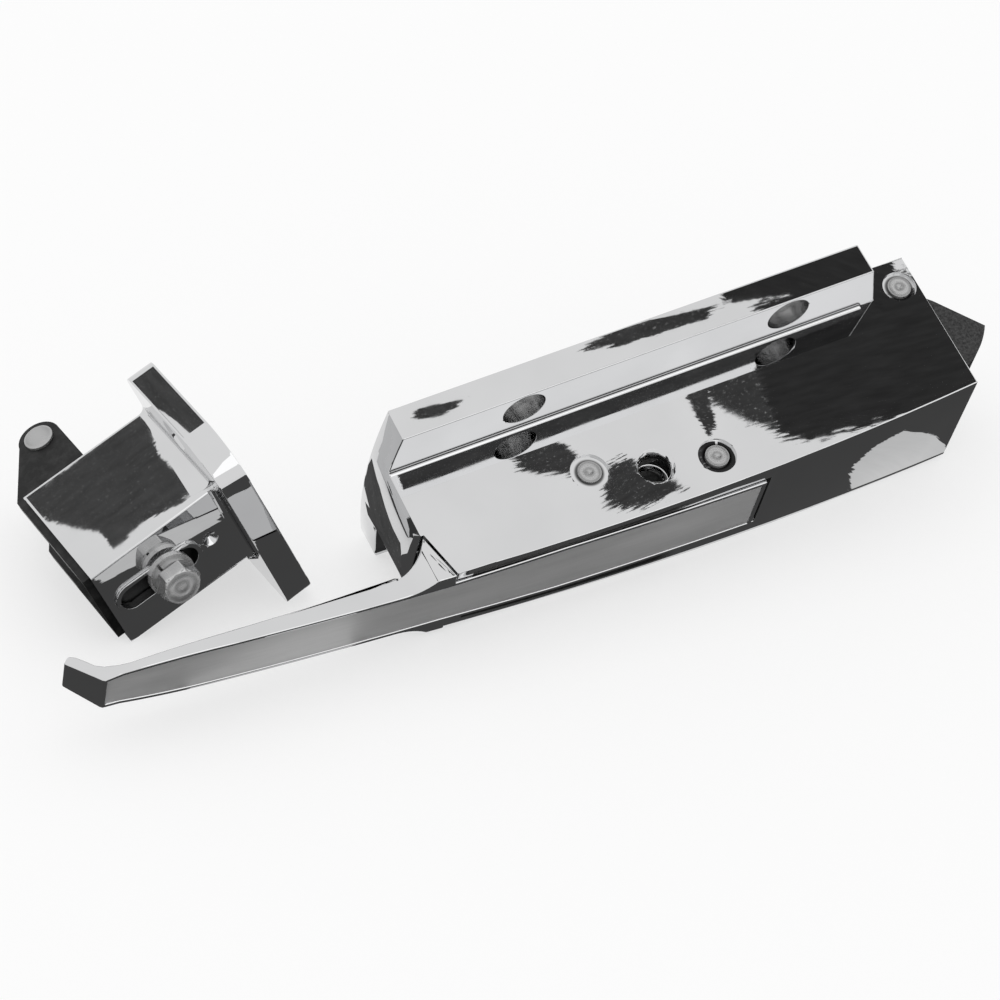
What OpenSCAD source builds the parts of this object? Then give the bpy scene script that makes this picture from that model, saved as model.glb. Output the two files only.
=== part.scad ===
// Walk-in cooler latch: lever handle latch with a pivoting tongue, and its adjustable roller strike.
// Latch frame: x along the latch from handle tip to tongue, y across, z out from the door.
// Strike frame: x from the open end to the flange, y out of the front face, z down.
// Row frame: both pieces lying on a flat surface, z up, x along the latch.

/* [Show] */
// Which part to draw

/* [Body] */
// Half width of the body at x = 0
body_half = 14.2; // [13.4:0.1:16]
// Growth of the half width per mm of length
body_taper = 0.03; // [0.02:0.005:0.04]
// Left end of the body on its centre line
body_left = -21.1; // [-23:0.1:-20]
// Length of the body past the tongue's pivot
body_past = 5.1; // [4.6:0.1:6]
// Radius of the rounded left end in plan
end_radius = 173; // [120:1:220]
// Height of the front face at its highest point
front_top = 45; // [44:0.1:46]
// Distance of that highest point along x
front_apex_x = 63; // [55:1:75]
// Radius of the curved front face
front_radius = 995; // [850:5:1200]
// Thickness of the body's walls
wall = 3.2; // [2.4:0.1:3.8]
// Width of the mounting flanges
flange_width = 15.8; // [14:0.1:18]
// Thickness of the mounting flanges
flange_thick = 9.2; // [7:0.1:11]
// Distance from the flanges' right end to the tongue's pivot
flange_short = 12.7; // [11:0.1:18]
// Extra flange length at the wall
flange_slant = 4; // [2:0.5:6]
// Fillet between flange and wall
root_fillet = 1.3; // [0.6:0.1:2]

/* [Body holes] */
// First screw hole along x
screw_first = 16.7; // [12:0.1:22]
// Spacing of the screw holes along x
screw_spacing = 77.6; // [70:0.1:84]
// Distance of the screw holes from the wall
screw_offset = 9.2; // [8:0.1:10]
// Diameter of the screw holes
screw_hole = 5.6; // [4.5:0.1:6.5]
// Diameter of the screw head recesses
screw_recess = 12.2; // [10.5:0.1:13]
// Depth of the screw head recesses
recess_depth = 5.6; // [4:0.1:6.4]
// Padlock hole along x
lock_x = 44.5; // [43:0.1:46]
// Padlock hole above the door face
lock_z = 32.9; // [32:0.1:34]
// Diameter of the padlock hole
lock_hole = 8.6; // [7:0.1:9]
// Depth of the bevel round the padlock hole
lock_bevel = 0.9; // [0.5:0.1:1.2]

/* [Pivots] */
// Diameter of the three cross pins
pin_dia = 6.35; // [6:0.05:6.6]
// Radial running clearance of the moving parts on their pins
pin_play = 0.05; // [0.02:0.01:0.09]
// Clearance of the ring recess round the handle and stop pins
ring_gap = 1.95; // [1.6:0.05:2.2]
// Clearance of the ring recess round the tongue pin
tongue_ring_gap = 1.45; // [1.2:0.05:1.8]
// Depth of the ring recesses
ring_depth = 0.7; // [0.4:0.1:1]
// Stop pin along x
stop_x = 27.9; // [26:0.1:30]
// Stop pin above the door face
stop_z = 27.8; // [27:0.1:29]
// Handle pivot along x
pivot_x = 61.05; // [60:0.05:62]
// Handle pivot above the door face
pivot_z = 36; // [35.5:0.1:36.5]
// Tongue pivot along x
tongue_x = 131.4; // [131:0.1:132]
// Tongue pivot above the door face
tongue_z = 8; // [7.5:0.1:8.5]

/* [Handle] */
// Height of the handle's front at its highest point
handle_top = 45.9; // [45.5:0.1:46.5]
// Distance of that highest point along x
handle_apex_x = 88.5; // [80:0.5:95]
// Radius of the handle's curved front
handle_radius = 1630; // [1450:10:1800]
// Height of the bar's back at the same point
bar_back = 38.2; // [37.8:0.1:38.8]
// Radius of the bar's curved back
bar_back_radius = 2985; // [2600:5:3400]
// Left end of the handle's front
handle_left = -109.2; // [-113:0.1:-105]
// Right end of the handle's front
handle_right = 72.2; // [71.5:0.1:72.6]
// Half width of the bar outside the body
bar_half = 9.6; // [9:0.1:10]
// Half width of the handle in the body
panel_half = 10.9; // [10.6:0.1:11.1]
// Half width of the bar at its tip
tip_half = 7.2; // [6.4:0.1:8]
// Start of the taper towards the tip
tip_start = -80; // [-86:1:-70]
// Thickness of the handle panel in the body
panel_thick = 4.4; // [4:0.1:4.6]
// Gap between the handle and the body
handle_gap = 0.45; // [0.3:0.05:0.7]
// Radius of the pocket's end round the handle pivot
swing_radius = 15.3; // [15.1:0.1:15.8]
// Outer face of the handle's cheeks
cheek_outer = 8.8; // [8.6:0.1:9.2]
// Thickness of the handle's cheeks
cheek_thick = 3; // [2.4:0.1:3.2]
// Radius of the arm from handle pivot to link pin
arm_radius = 18; // [17:0.1:18.5]
// Depth of the recess for the inlay
inlay_depth = 1.5; // [1:0.1:1.7]
// Thickness of the inlay
inlay_thick = 1.15; // [0.8:0.05:1.3]
// Width of the rim round the inlay
inlay_rim = 1.3; // [1:0.1:2]

/* [Linkage] */
// Diameter of the link pin
link_pin_dia = 5; // [4.4:0.1:5.4]
// Thickness of the drive link
link_thick = 3; // [2.4:0.1:3.4]
// Height of the drive link's bar
link_bar = 6.4; // [5.4:0.1:7]
// Radius of the arm from tongue pivot to drive pin
tongue_arm = 9; // [8.6:0.1:9.2]
// Diameter of the tongue's drive pin
drive_pin_dia = 3; // [2.6:0.1:3.2]
// Free travel of the drive pin in the link's slot
slot_travel = 6.6; // [6.2:0.1:7.4]

/* [Tongue] */
// Outer radius of the tongue
tongue_radius = 26.2; // [25:0.1:26.6]
// Half width of the tongue
tongue_half = 7.8; // [7:0.1:8.2]
// Radius of the tongue's hub
hub_radius = 6.6; // [6.2:0.1:7]
// Gap between the tongue and the body's end slot
tongue_gap = 0.4; // [0.3:0.05:0.6]

/* [Springs] */
// Wire diameter of the handle spring
handle_wire = 1.2; // [1:0.1:1.3]
// Mean radius of the handle spring's coils
handle_coil = 4.4; // [4.3:0.05:4.6]
// Wire diameter of the tongue spring
tongue_wire = 1.2; // [1:0.1:1.4]
// Mean radius of the tongue spring's coils
tongue_coil = 4.3; // [4.2:0.1:4.5]

/* [Strike] */
// Half height of the strike's housing
strike_half = 13.9; // [13.6:0.1:15]
// Length of the housing from its open end to the flange
strike_length = 38.8; // [38:0.1:42]
// Back edge of the housing
strike_back = -15.6; // [-17:0.1:-14]
// Front face of the housing
strike_front = 23.4; // [23:0.1:25]
// Thickness of the housing's walls
strike_wall = 2.1; // [1.8:0.1:2.2]
// Radius of the housing's front edges
ridge_radius = 1.4; // [0.8:0.1:2]
// Half height of the strike's flange
plate_half = 28.9; // [27:0.1:32]
// Front edge of the strike's flange
plate_front = 32.3; // [30:0.1:35]
// Thickness of the strike's flange
plate_thick = 7.6; // [6:0.1:9]
// Radius of the flange's upper front corner
plate_corner = 14; // [9:0.5:15]
// Radius of the flange's other corners
plate_round = 5; // [3:0.5:7]
// Distance of the flange's screw holes from the middle
plate_screw = 21.6; // [20.5:0.1:23]
// Fillet between housing and flange
plate_fillet = 2; // [1:0.1:2.5]
// Middle of the adjusting slot's outer end
slot_start = 6.4; // [5.5:0.1:7]
// Middle of the adjusting slot's inner end
slot_end = 23.2; // [22.9:0.1:23.6]
// Half width of the adjusting slot
slot_half = 3.4; // [3.3:0.05:3.6]
// Height of the raised rim round the slot
slot_rim = 0.9; // [0.5:0.1:1.2]

/* [Roller bracket] */
// Outer faces of the bracket's ears
ear_outer = 11.4; // [11:0.1:11.4]
// Thickness of the bracket's ears
ear_thick = 2.8; // [2.4:0.1:3]
// Roller axis along the strike
roller_x = 13.3; // [12.5:0.1:14]
// Roller axis behind the housing
roller_y = -33.8; // [-36:0.1:-32]
// Radius of the ears round the roller axis
ear_radius = 5.9; // [5.5:0.1:6.5]
// Radius of the roller
roller_radius = 5; // [4.6:0.1:5.3]
// Diameter of the roller's pin
roller_pin_dia = 5; // [4.6:0.1:5.4]
// Diameter of the pin's heads
roller_head = 8; // [7.4:0.1:8.4]
// Position of the adjusting bolt
bolt_x = 17.8; // [17.6:0.1:18]
// Thread diameter of the adjusting bolt
bolt_dia = 6; // [5.6:0.1:6.2]
// Width across the flats of bolt and nut
hex_flats = 10; // [9.6:0.1:10.4]

/* [Placing] */
// Angle of the strike about the vertical
strike_turn = 2.77; // [0:0.01:6]
// Strike's open end from the latch frame's origin, along x
strike_dx = -94.5; // [-100:0.1:-90]
// Strike's open end from the latch frame's origin, along y
strike_dy = 24.4; // [20:0.1:30]
// Shift of the whole row along x
row_dx = -18.46; // [-30:0.01:30]
// Shift of the whole row along y
row_dy = -8.07; // [-30:0.01:30]

/* [Hidden] */
$fn = 64;
// Reach of cutting and drawing shapes well past the pieces
wide = 80;
tall = 60;
far = 200;
body_right = tongue_x + body_past;
flange_right = tongue_x - flange_short;
pin_r = pin_dia / 2;
pin_bore = pin_r + pin_play;
eps = 1;
link_z = pivot_z - arm_radius;
drive_z = tongue_z + tongue_arm;
link_run = tongue_x - pivot_x;
link_drop = link_z - drive_z;
link_length = sqrt(link_run * link_run + link_drop * link_drop);
link_tilt = atan(link_drop / link_run);
link_r = link_pin_dia / 2;
drive_r = drive_pin_dia / 2;
// Slot half height: pin, its rise and fall on its arc, and a gap
slot_half_h = drive_r + 0.8;
link_eye = slot_half_h + 1.8;
// The drive pin rises by twice this in the link's slot at mid swing
slot_raise = 0.47;
link_end_r = 4.6;
arm_end_r = 4.3;
// Gap between the link's eye and the tongue
eye_gap = 1.1;
bush_r = 5;
sleeve_half = cheek_outer - cheek_thick - 0.6;
inlay_play = 0.05;
// Pins end this far below the wall, with a centre mark in each end
pin_sunk = 0.15;
mark_r = 1.1;
mark_deep = 0.8;
spacer_r = 3.9;
// Play between stacked pieces on one pin
side_play = 0.3;
press_play = 0.02;
// Spare length of the slot beyond the pin at rest
slot_spare = 0.8;
link_side = link_thick / 2 + 0.4;
// Spacing of a spring's turns as a share of the wire, and steps in a turn
coil_pitch = 1.12;
wire_steps = 16;
// The root of the handle meets the body on this slanted line
part_low_x = -20.2;
part_low_z = 29;
part_high_x = -16.6;
part_high_z = 43;
part_slope = (part_high_x - part_low_x) / (part_high_z - part_low_z);
// Left edge of the handle's root, its half width there, and its undercuts
root_left = -31;
root_half = 13.3;
root_run = 9.5;
root_cut_r = 11.9;
root_cut_z = 35.9;
root_side_r = 12.8;
// The bar ends inside the body here
bar_end = -12;
// The bar starts and ends widening here
flare_start = -18;
flare_end = 14;
// Curled lip at the free end: its reach past the front's end and its drop below the bar's back
hook_reach = 6.8;
hook_drop = 7.55;
// Cheeks inside the body
cheek_left = 35;
cheek_low = 28;
cheek_right = 71;
cheek_top = 42.8;
cheek_hub = 8;
cheek_end_r = 4.2;
// Flanges are drawn from here, and the rounded left end trims them
flange_start = -30;
flange_sink = 2;
lay_turn = atan(body_taper);
lay_angle = atan(flange_width / (front_top - flange_thick));
lay_lift = (body_half + flange_width) * cos(lay_turn) * cos(lay_angle) + flange_thick * sin(lay_angle);
strike_tilt = atan((plate_half - strike_half) / strike_length);
strike_lift = strike_half * cos(strike_tilt);
slot_rim_w = 1.2;
washer_low = strike_front + slot_rim;
flat_thick = 1.6;
flat_r = 6.2;
lock_thick = 1.8;
lock_r = 5.5;
head_low = washer_low + flat_thick + lock_thick;
head_thick = 4.3;
bracket_front = strike_front - strike_wall - side_play;
bracket_thick = 3;
nut_thick = 5;
// Bracket's sheet: how far it stands out of the housing, and its inner end
bracket_out = 2;
bracket_in = 29;
bracket_play = 0.2;
washer_r = 4.2;
washer_thick = 0.5;
// Round dimple beside the slot
dimple_x = 31.2;
dimple_dia = 4.6;
dimple_depth = 1.5;
plate_screw_y = 8;
sink_depth = 2.4;
hex_r = hex_flats / 2 / cos(30);

// Pin across the body that carries the tongue spring's fixed leg
anchor_back = 17.4;
anchor_x = tongue_x - anchor_back;
anchor_z = 4.4;
anchor_r = 1.6;
drive_pin_out = 4.6;
anchor_depth = 1.6;
// Top of the slot in the right end, above the swinging tongue
slot_top = tongue_z + tongue_radius + 2.5;

function hw(x) = body_half + body_taper * x;

// Placing of the two pieces in the row

module latch_lay() {
    translate([row_dx, row_dy, lay_lift])
        rotate([90 + lay_angle, 0, 0])
            rotate([0, 0, lay_turn])
                children();
}

module strike_lay() {
    translate([row_dx + strike_dx, row_dy + strike_dy, strike_lift])
        rotate([0, 0, strike_turn])
            rotate([0, -strike_tilt, 0])
                rotate([180, 0, 0])
                    children();
}

// Helpers

module across(w) {
    rotate([90, 0, 0])
        linear_extrude(height = w, center = true)
            children();
}

module cross_rod(x, z, r, y0, y1) {
    translate([x, y1, z])
        rotate([90, 0, 0])
            cylinder(r = r, h = y1 - y0);
}

module wedge(x0, x1, extra) {
    polygon([[x0, -hw(x0) - extra], [x1, -hw(x1) - extra], [x1, hw(x1) + extra], [x0, hw(x0) + extra]]);
}

module left_arc(inset) {
    translate([body_left + end_radius, 0])
        circle(r = end_radius - inset, $fn = 720);
}

module under_arc(apex_x, apex_z, r) {
    translate([apex_x, apex_z - r])
        circle(r = r, $fn = 1440);
}

// Points of a helix about the y axis: it starts at the angle first, measured from x towards z
function helix(centre, mean_r, y0, rise, turns, first, way) = [for (i = [0 : wire_steps * turns])
    let (a = first + way * 360 * i / wire_steps)
    centre + [mean_r * cos(a), y0 + rise * i / wire_steps, mean_r * sin(a)]];

// Round wire along a path that never runs along y
module wire(path, r) {
    count = len(path);
    sides = 8;
    rings = [for (i = [0 : count - 1])
        let (step = path[min(i + 1, count - 1)] - path[max(i - 1, 0)],
            ahead = step / norm(step),
            flat = cross(ahead, [0, 1, 0]),
            u = flat / norm(flat),
            v = cross(u, ahead))
        for (k = [0 : sides - 1])
            path[i] + r * (cos(360 * k / sides) * u + sin(360 * k / sides) * v)];
    walls = [for (i = [0 : count - 2]) for (k = [0 : sides - 1])
        let (n = (k + 1) % sides)
        [i * sides + k, i * sides + n, (i + 1) * sides + n, (i + 1) * sides + k]];
    first_cap = [for (k = [sides - 1 : -1 : 0]) k];
    last_cap = [for (k = [0 : sides - 1]) (count - 1) * sides + k];
    polyhedron(points = rings, faces = concat([first_cap], walls, [last_cap]), convexity = 10);
}

// Latch body

module flange_plan(side) {
    inner = flange_right + flange_slant;
    first = flange_start;
    polygon([[first, side * (hw(first) - flange_sink)], [inner, side * (hw(inner) - flange_sink)],
        [inner, side * hw(inner)], [flange_right, side * (hw(flange_right) + flange_width)],
        [first, side * (hw(first) + flange_width)]]);
}

module flange_fillet(side) {
    rotate([0, 0, side * lay_turn])
        translate([flange_start, side * (body_half * cos(lay_turn) - 0.02), flange_thick - 0.02])
            rotate([90, 0, 90])
                linear_extrude(height = flange_right - flange_start)
                    difference() {
                        translate([side > 0 ? 0 : -root_fillet, 0])
                            square(root_fillet);
                        translate([side * root_fillet, root_fillet])
                            circle(r = root_fillet);
                    }
}

module handle_plan(gap) {
    tip_run = tip_start - handle_left;
    tip_drop = bar_half - tip_half;
    tip_r = (tip_run * tip_run + tip_drop * tip_drop) / (2 * tip_drop);
    intersection() {
        for (s = [-1, 1])
            polygon([[handle_left - far, -s * eps], [handle_left - far, s * (bar_half + gap)],
                [flare_start, s * (bar_half + gap)], [flare_end, s * (panel_half + gap)],
                [handle_right + gap, s * (panel_half + gap)], [handle_right + gap, -s * eps]]);
        union() {
            translate([tip_start, bar_half - tip_r])
                intersection() {
                    circle(r = tip_r + gap, $fn = 720);
                    translate([-far, tip_r - bar_half])
                        square([far, wide]);
                }
            translate([tip_start, tip_r - bar_half])
                intersection() {
                    circle(r = tip_r + gap, $fn = 720);
                    translate([-far, bar_half - tip_r - wide])
                        square([far, wide]);
                }
            translate([tip_start - 0.01, -wide / 2])
                square([far, wide]);
        }
    }
}

module root_region(gap) {
    // everything the handle's root takes from the body's left front corner
    polygon([[body_left - wall, part_low_z - gap], [part_low_x + gap, part_low_z - gap],
        [part_high_x + gap + wall * part_slope, part_high_z + wall], [body_left - wall, part_high_z + wall]]);
}

module body_side(inset) {
    intersection() {
        under_arc(front_apex_x, front_top - inset, front_radius - inset);
        translate([-wide, 0])
            square([wide + far, tall]);
    }
}

module body_cavity() {
    intersection() {
        translate([0, 0, -eps])
            linear_extrude(height = tall)
                intersection() {
                    wedge(body_left, body_right - wall, -wall);
                    left_arc(wall);
                }
        across(wide)
            under_arc(front_apex_x, front_top - wall, front_radius - wall);
    }
}

module pin_ring(x, z, gap) {
    for (s = [-1, 1])
        translate([x, s * (hw(x) + eps), z])
            rotate([s * 90, 0, 0])
                cylinder(r = pin_r + gap, h = ring_depth + eps);
}

module latch_body_shape() {
    difference() {
        union() {
            intersection() {
                linear_extrude(height = tall)
                    intersection() {
                        wedge(body_left - 2, body_right, 0);
                        left_arc(0);
                    }
                across(wide)
                    body_side(0);
            }
            intersection() {
                union() {
                    linear_extrude(height = flange_thick) {
                        flange_plan(1);
                        flange_plan(-1);
                    }
                    flange_fillet(1);
                    flange_fillet(-1);
                }
                linear_extrude(height = tall)
                    left_arc(0);
            }
        }
        body_cavity();
        // pocket for the handle through the front skin
        intersection() {
            translate([0, 0, part_low_z])
                linear_extrude(height = tall)
                    handle_plan(handle_gap);
            translate([body_left - wall, -wide / 2, part_low_z])
                cube([far, wide, tall]);
        }
        intersection() {
            cross_rod(pivot_x, pivot_z, swing_radius, -panel_half - handle_gap, panel_half + handle_gap);
            translate([pivot_x, -wide / 2, pivot_z])
                cube([2 * swing_radius, wide, tall]);
        }
        across(wide)
            root_region(handle_gap);
        // open end below the end wall, round the tongue pin
        translate([0, 0, -eps])
            linear_extrude(height = tongue_z + hub_radius + tongue_gap + eps)
                wedge(tongue_x - hub_radius, body_right + eps, -wall);
        // slot in the right end for the tongue
        translate([body_right - wall - eps, -tongue_half - tongue_gap, -eps])
            cube([wall + 2 * eps, 2 * (tongue_half + tongue_gap), slot_top + eps]);
        for (x = [screw_first, screw_first + screw_spacing])
            for (s = [-1, 1])
                translate([x, s * (hw(x) + screw_offset), 0]) {
                    translate([0, 0, -eps])
                        cylinder(d = screw_hole, h = flange_thick + 2 * eps);
                    translate([0, 0, flange_thick - recess_depth])
                        cylinder(d = screw_recess, h = recess_depth + eps);
                }
        cross_rod(lock_x, lock_z, lock_hole / 2, -wide / 2, wide / 2);
        for (s = [-1, 1])
            translate([lock_x, s * hw(lock_x), lock_z])
                rotate([s * 90, 0, 0])
                    translate([0, 0, -eps])
                        cylinder(r1 = lock_hole / 2 + lock_bevel + eps, r2 = lock_hole / 2, h = lock_bevel + eps);
        cross_rod(stop_x, stop_z, pin_r, -wide / 2, wide / 2);
        cross_rod(pivot_x, pivot_z, pin_r, -wide / 2, wide / 2);
        cross_rod(tongue_x, tongue_z, pin_r, -wide / 2, wide / 2);
        pin_ring(stop_x, stop_z, ring_gap);
        pin_ring(pivot_x, pivot_z, ring_gap);
        pin_ring(tongue_x, tongue_z, tongue_ring_gap);
        cross_rod(anchor_x, anchor_z, anchor_r, -hw(anchor_x) + wall - anchor_depth, hw(anchor_x) - wall + anchor_depth);
    }
}
module latch_body() {
    color([0.82, 0.83, 0.85])
        latch_lay()
            latch_body_shape();
}

// Handle

// Height of the handle's curved front, lowered by depth
function front_z(x, depth) = handle_top - handle_radius
    + sqrt(pow(handle_radius - depth, 2) - pow(x - handle_apex_x, 2));

module under_handle(depth) {
    first = handle_left - hook_reach - eps;
    span = handle_right + swing_radius - first;
    steps = 24;
    polygon(concat([[first, 0]], [for (i = [0 : steps]) [first + span * i / steps,
        front_z(first + span * i / steps, depth)]], [[first + span, 0]]));
}

function back_z(x) = bar_back - (x - handle_apex_x) * (x - handle_apex_x) / (2 * bar_back_radius);

module bar_band() {
    intersection() {
        under_handle(0);
        steps = 4;
        run = (bar_end - handle_left) / steps;
        polygon(concat([for (i = [0 : steps]) [handle_left + i * run, back_z(handle_left + i * run)]],
            [[bar_end, tall], [handle_left, tall]]));
    }
}

module panel_band() {
    difference() {
        under_handle(0);
        under_handle(panel_thick);
    }
}

module handle_side() {
    bar_band();
    intersection() {
        panel_band();
        translate([part_low_x, 0])
            square([handle_right - part_low_x, tall]);
    }
    hook_side();
}

// Outline of the curled lip, in shares of its reach and drop
module hook_side() {
    lip = [[0, 0.31], [-1, -0.81], [-0.75, -1], [-0.51, -0.85], [-0.25, -0.58], [-0.03, -0.33],
        [0.26, -0.17], [0.76, -0.05], [1.2, 0], [1.2, 0.31], [0.09, 0.36]];
    polygon([for (p = lip)
        let (x = handle_left + p[0] * hook_reach)
        [x, back_z(max(x, handle_left)) + p[1] * hook_drop]]);
}

// Shoulder that closes the body's left front corner
module root_side() {
    intersection() {
        difference() {
            polygon([[root_left, tall], [root_left, part_low_z], [part_low_x, part_low_z],
                [part_high_x + (tall - part_high_z) * part_slope, tall]]);
            translate([root_left, root_cut_z - root_cut_r])
                circle(r = root_cut_r);
        }
        under_handle(0);
    }
}

module root_plan() {
    intersection() {
        difference() {
            polygon([[root_left, -root_half], [part_high_x + eps, -hw(part_high_x)],
                [part_high_x + eps, hw(part_high_x)], [root_left, root_half]]);
            for (s = [-1, 1])
                translate([root_left, s * (bar_half + root_side_r)])
                    circle(r = root_side_r);
        }
        union() {
            wedge(root_left + root_run - 0.5, bar_end, 0);
            translate([root_left, -root_half])
                square([root_run, 2 * root_half]);
        }
    }
}

module cheek_side() {
    polygon([[cheek_left, cheek_top], [cheek_left + 1, cheek_low], [pivot_x - cheek_end_r - 1, cheek_low],
        [pivot_x - cheek_end_r, link_z], [pivot_x + cheek_end_r, link_z],
        [pivot_x + cheek_hub, pivot_z], [cheek_right, cheek_top]]);
    translate([pivot_x, pivot_z])
        circle(r = cheek_hub);
    translate([pivot_x, link_z])
        circle(r = cheek_end_r);
}

module handle_shape() {
    difference() {
        union() {
            intersection() {
                across(wide)
                    handle_side();
                linear_extrude(height = tall)
                    handle_plan(0);
            }
            intersection() {
                across(wide)
                    root_side();
                linear_extrude(height = tall)
                    root_plan();
            }
            for (s = [-1, 1])
                translate([0, s * (cheek_outer - cheek_thick / 2), 0])
                    across(cheek_thick)
                        cheek_side();
        }
        // recess for the inlay
        intersection() {
            difference() {
                linear_extrude(height = tall)
                    handle_plan(-inlay_rim);
                across(wide)
                    under_handle(inlay_depth);
            }
            translate([handle_left + inlay_rim, -wide / 2, 0])
                cube([handle_right - handle_left - 2 * inlay_rim, wide, tall]);
        }
        cross_rod(pivot_x, pivot_z, pin_bore, -wide / 2, wide / 2);
        cross_rod(pivot_x, link_z, link_r, -wide / 2, wide / 2);
        cross_rod(lock_x, lock_z, lock_hole / 2, -wide / 2, wide / 2);
    }
}

module handle() {
    color([0.82, 0.83, 0.85])
        latch_lay()
            handle_shape();
}

module handle_inlay() {
    low = inlay_depth;
    high = inlay_depth - inlay_thick;
    color([0.6, 0.61, 0.63])
        latch_lay()
            intersection() {
                linear_extrude(height = tall)
                    handle_plan(-inlay_rim - inlay_play);
                across(wide)
                    difference() {
                        under_handle(high);
                        under_handle(low);
                    }
                translate([handle_left + inlay_rim + inlay_play, -wide / 2, 0])
                    cube([handle_right - handle_left - 2 * inlay_rim - 2 * inlay_play, wide, tall]);
            }
}

// Cross pins with a centre mark in each end
module cross_pin(x, z) {
    half = hw(x) - pin_sunk;
    difference() {
        cross_rod(x, z, pin_r, -half, half);
        for (s = [-1, 1])
            translate([x, s * half, z])
                rotate([s * 90, 0, 0])
                    translate([0, 0, -0.1])
                        cylinder(r1 = mark_r, r2 = mark_r / 5, h = mark_deep + 0.1);
    }
}

module handle_pin() {
    color([0.72, 0.73, 0.75])
        latch_lay()
            cross_pin(pivot_x, pivot_z);
}

module stop_pin() {
    color([0.72, 0.73, 0.75])
        latch_lay()
            cross_pin(stop_x, stop_z);
}

module tongue_pin() {
    color([0.72, 0.73, 0.75])
        latch_lay()
            cross_pin(tongue_x, tongue_z);
}

module ring_on(x, z, outer, inner, y0, y1) {
    difference() {
        cross_rod(x, z, outer, y0, y1);
        cross_rod(x, z, inner, y0 - eps, y1 + eps);
    }
}

module handle_bushes() {
    room = hw(pivot_x) - wall - 0.1 - side_play;
    color([0.72, 0.6, 0.35])
        latch_lay() {
            ring_on(pivot_x, pivot_z, bush_r, pin_r + press_play, cheek_outer + side_play, room);
            ring_on(pivot_x, pivot_z, bush_r, pin_r + press_play, -room, -cheek_outer - side_play);
        }
}

module spring_sleeve() {
    color([0.6, 0.61, 0.62])
        latch_lay()
            ring_on(pivot_x, pivot_z, pin_r + 0.5, pin_r + press_play, -sleeve_half, sleeve_half);
}

module handle_spring() {
    turns = 5;
    rise = handle_wire * coil_pitch;
    start = -turns * rise / 2;
    held_z = stop_z - pin_r - handle_wire / 2 - 0.1;
    pressed_z = front_z(pivot_x + 8.5, panel_thick) - handle_wire / 2 - 0.35;
    centre = [pivot_x, 0, pivot_z];
    color([0.5, 0.51, 0.52])
        latch_lay()
            wire(concat([[stop_x - 4, start, held_z - 0.4], [stop_x + 4, start, held_z]],
                helix(centre, handle_coil, start, rise, turns, -90, 1),
                [[pivot_x + 7.6, -start, pivot_z - handle_coil], [pivot_x + 8.5, -start, pivot_z - 3.5],
                [pivot_x + 8.5, -start, pressed_z]]), handle_wire / 2);
}

module link_pin() {
    color([0.6, 0.61, 0.62])
        latch_lay()
            cross_rod(pivot_x, link_z, link_r, -cheek_outer - 2 * side_play, cheek_outer + 2 * side_play);
}

module link_spacers() {
    inner = cheek_outer - cheek_thick - 0.1;
    color([0.6, 0.61, 0.62])
        latch_lay() {
            ring_on(pivot_x, link_z, spacer_r, link_r + press_play, link_side, inner);
            ring_on(pivot_x, link_z, spacer_r, link_r + press_play, -inner, -link_side);
        }
}

module link_slot(r) {
    translate([link_length - slot_travel, slot_raise]) {
        translate([0, -r])
            square([slot_travel + slot_spare, 2 * r]);
        circle(r = r);
        translate([slot_travel + slot_spare, 0])
            circle(r = r);
    }
}

module link_shape() {
    difference() {
        union() {
            circle(r = link_end_r);
            translate([0, -link_bar / 2])
                square([link_length - slot_travel, link_bar]);
            link_slot(link_eye);
        }
        circle(r = link_r + pin_play);
        link_slot(slot_half_h);
    }
}

module drive_link() {
    color([0.55, 0.56, 0.58])
        latch_lay()
            translate([pivot_x, 0, link_z])
                rotate([0, link_tilt, 0])
                    across(link_thick)
                        link_shape();
}

// Tongue

module tongue_side() {
    circle(r = hub_radius);
    translate([0, tongue_arm])
        circle(r = arm_end_r);
    intersection() {
        circle(r = tongue_radius, $fn = 180);
        polygon(tongue_radius * [[-0.077, -0.238], [0.165, -0.2], [0.465, 0.081], [0.945, 0.676],
            [0.484, 0.992], [0.058, 0.485], [-0.162, 0.37], [-0.25, 0.02]]);
    }
}

module tongue_slot() {
    translate([0, tongue_arm])
        circle(r = link_eye + eye_gap);
    low = tongue_arm - link_eye - eye_gap;
    side = (link_eye + eye_gap) / sqrt(2);
    polygon([[0, low], [side, tongue_arm + side], [side - tall, tongue_arm + side + tall], [-tall, low]]);
}

module tongue() {
    color([0.3, 0.3, 0.31])
        latch_lay()
            translate([tongue_x, 0, tongue_z])
                difference() {
                    across(2 * tongue_half)
                        tongue_side();
                    across(2 * link_side)
                        tongue_slot();
                    cross_rod(0, 0, pin_bore, -wide / 2, wide / 2);
                    cross_rod(0, tongue_arm, drive_r, -wide / 2, wide / 2);
                }
}

module tongue_drive_pin() {
    color([0.6, 0.61, 0.62])
        latch_lay()
            cross_rod(tongue_x, drive_z, drive_r, -tongue_half - drive_pin_out, tongue_half - tongue_gap);
}

module tongue_bush() {
    room = hw(tongue_x) - wall - side_play;
    color([0.72, 0.6, 0.35])
        latch_lay()
            ring_on(tongue_x, tongue_z, bush_r, pin_r + press_play, tongue_half + side_play, room);
}

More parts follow.
